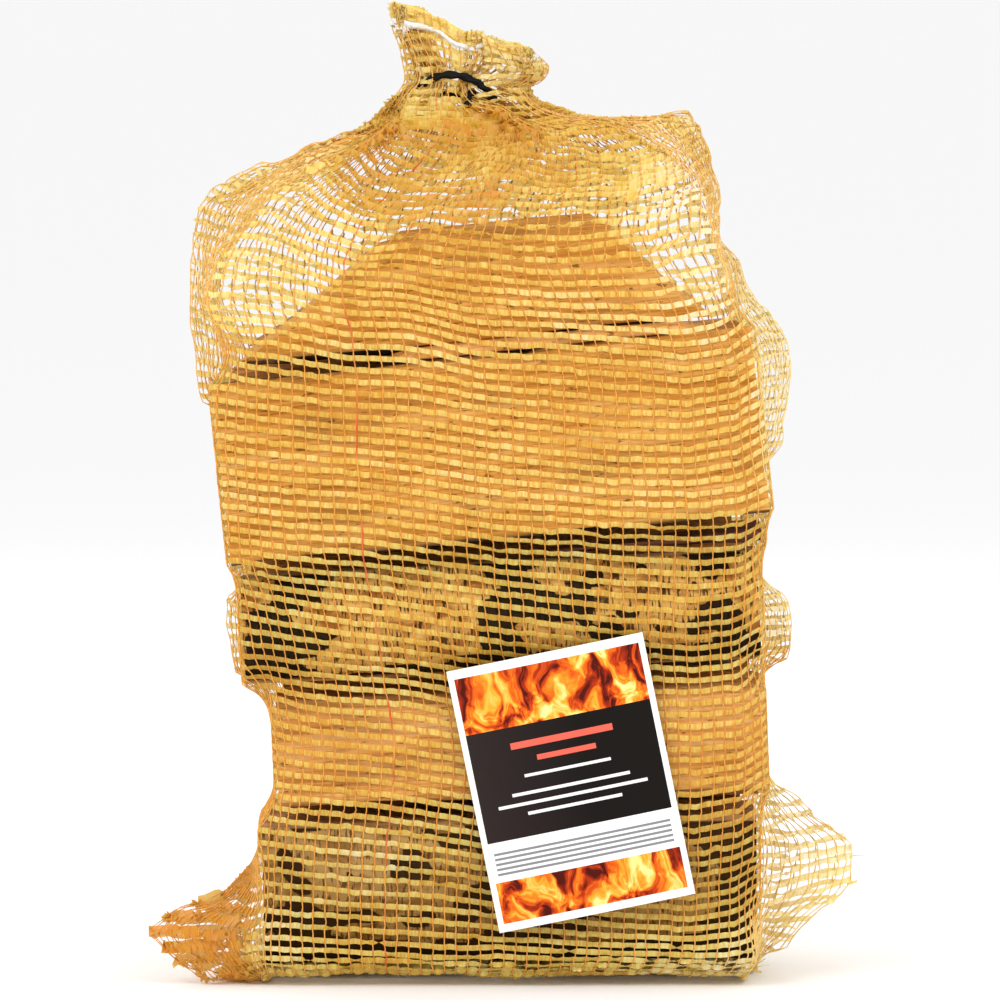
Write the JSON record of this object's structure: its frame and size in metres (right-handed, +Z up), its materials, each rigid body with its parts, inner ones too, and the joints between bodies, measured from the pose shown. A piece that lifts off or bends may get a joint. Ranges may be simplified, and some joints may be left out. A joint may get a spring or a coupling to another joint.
{
  "type": "firewood bundle",
  "caption": "Split logs stacked flat in a gold-coloured knitted net bag that stands upright, gathered and tied at the neck, with a bare printed card on its front",
  "frame": {"origin": "middle of the footprint, at the level of the surface the bag stands on", "axes": "+Z up, -Y the front with the card, logs along X"},
  "size_m": [0.3591, 0.214, 0.4937],
  "materials": {
    "split_wood": "raw split face",
    "birch_bark": "pale bark with dark flecks",
    "rough_bark": "dark furrowed bark",
    "net_tape": "knitted glossy plastic tape",
    "white_string": "flat woven string",
    "black_tie": "plain",
    "card": "glossy printed card"
  },
  "bodies": {
    "root": {"log_bottom_front": "birch_bark", "log_bottom_back": "rough_bark", "log_lower_front": "split_wood", "log_lower_back": "split_wood", "log_birch_front": "birch_bark", "log_middle_core": "split_wood", "log_middle_back": "rough_bark", "log_sliver_front": "rough_bark", "log_wide_front": "split_wood", "log_upper_core": "split_wood", "log_upper_back": "birch_bark", "log_top_front": "split_wood", "log_top_core": "rough_bark", "log_top_back": "split_wood", "net_bag": "net_tape", "drawstring": "white_string", "neck_tie": "black_tie", "label_card": "card"}
  },
  "joints": []
}
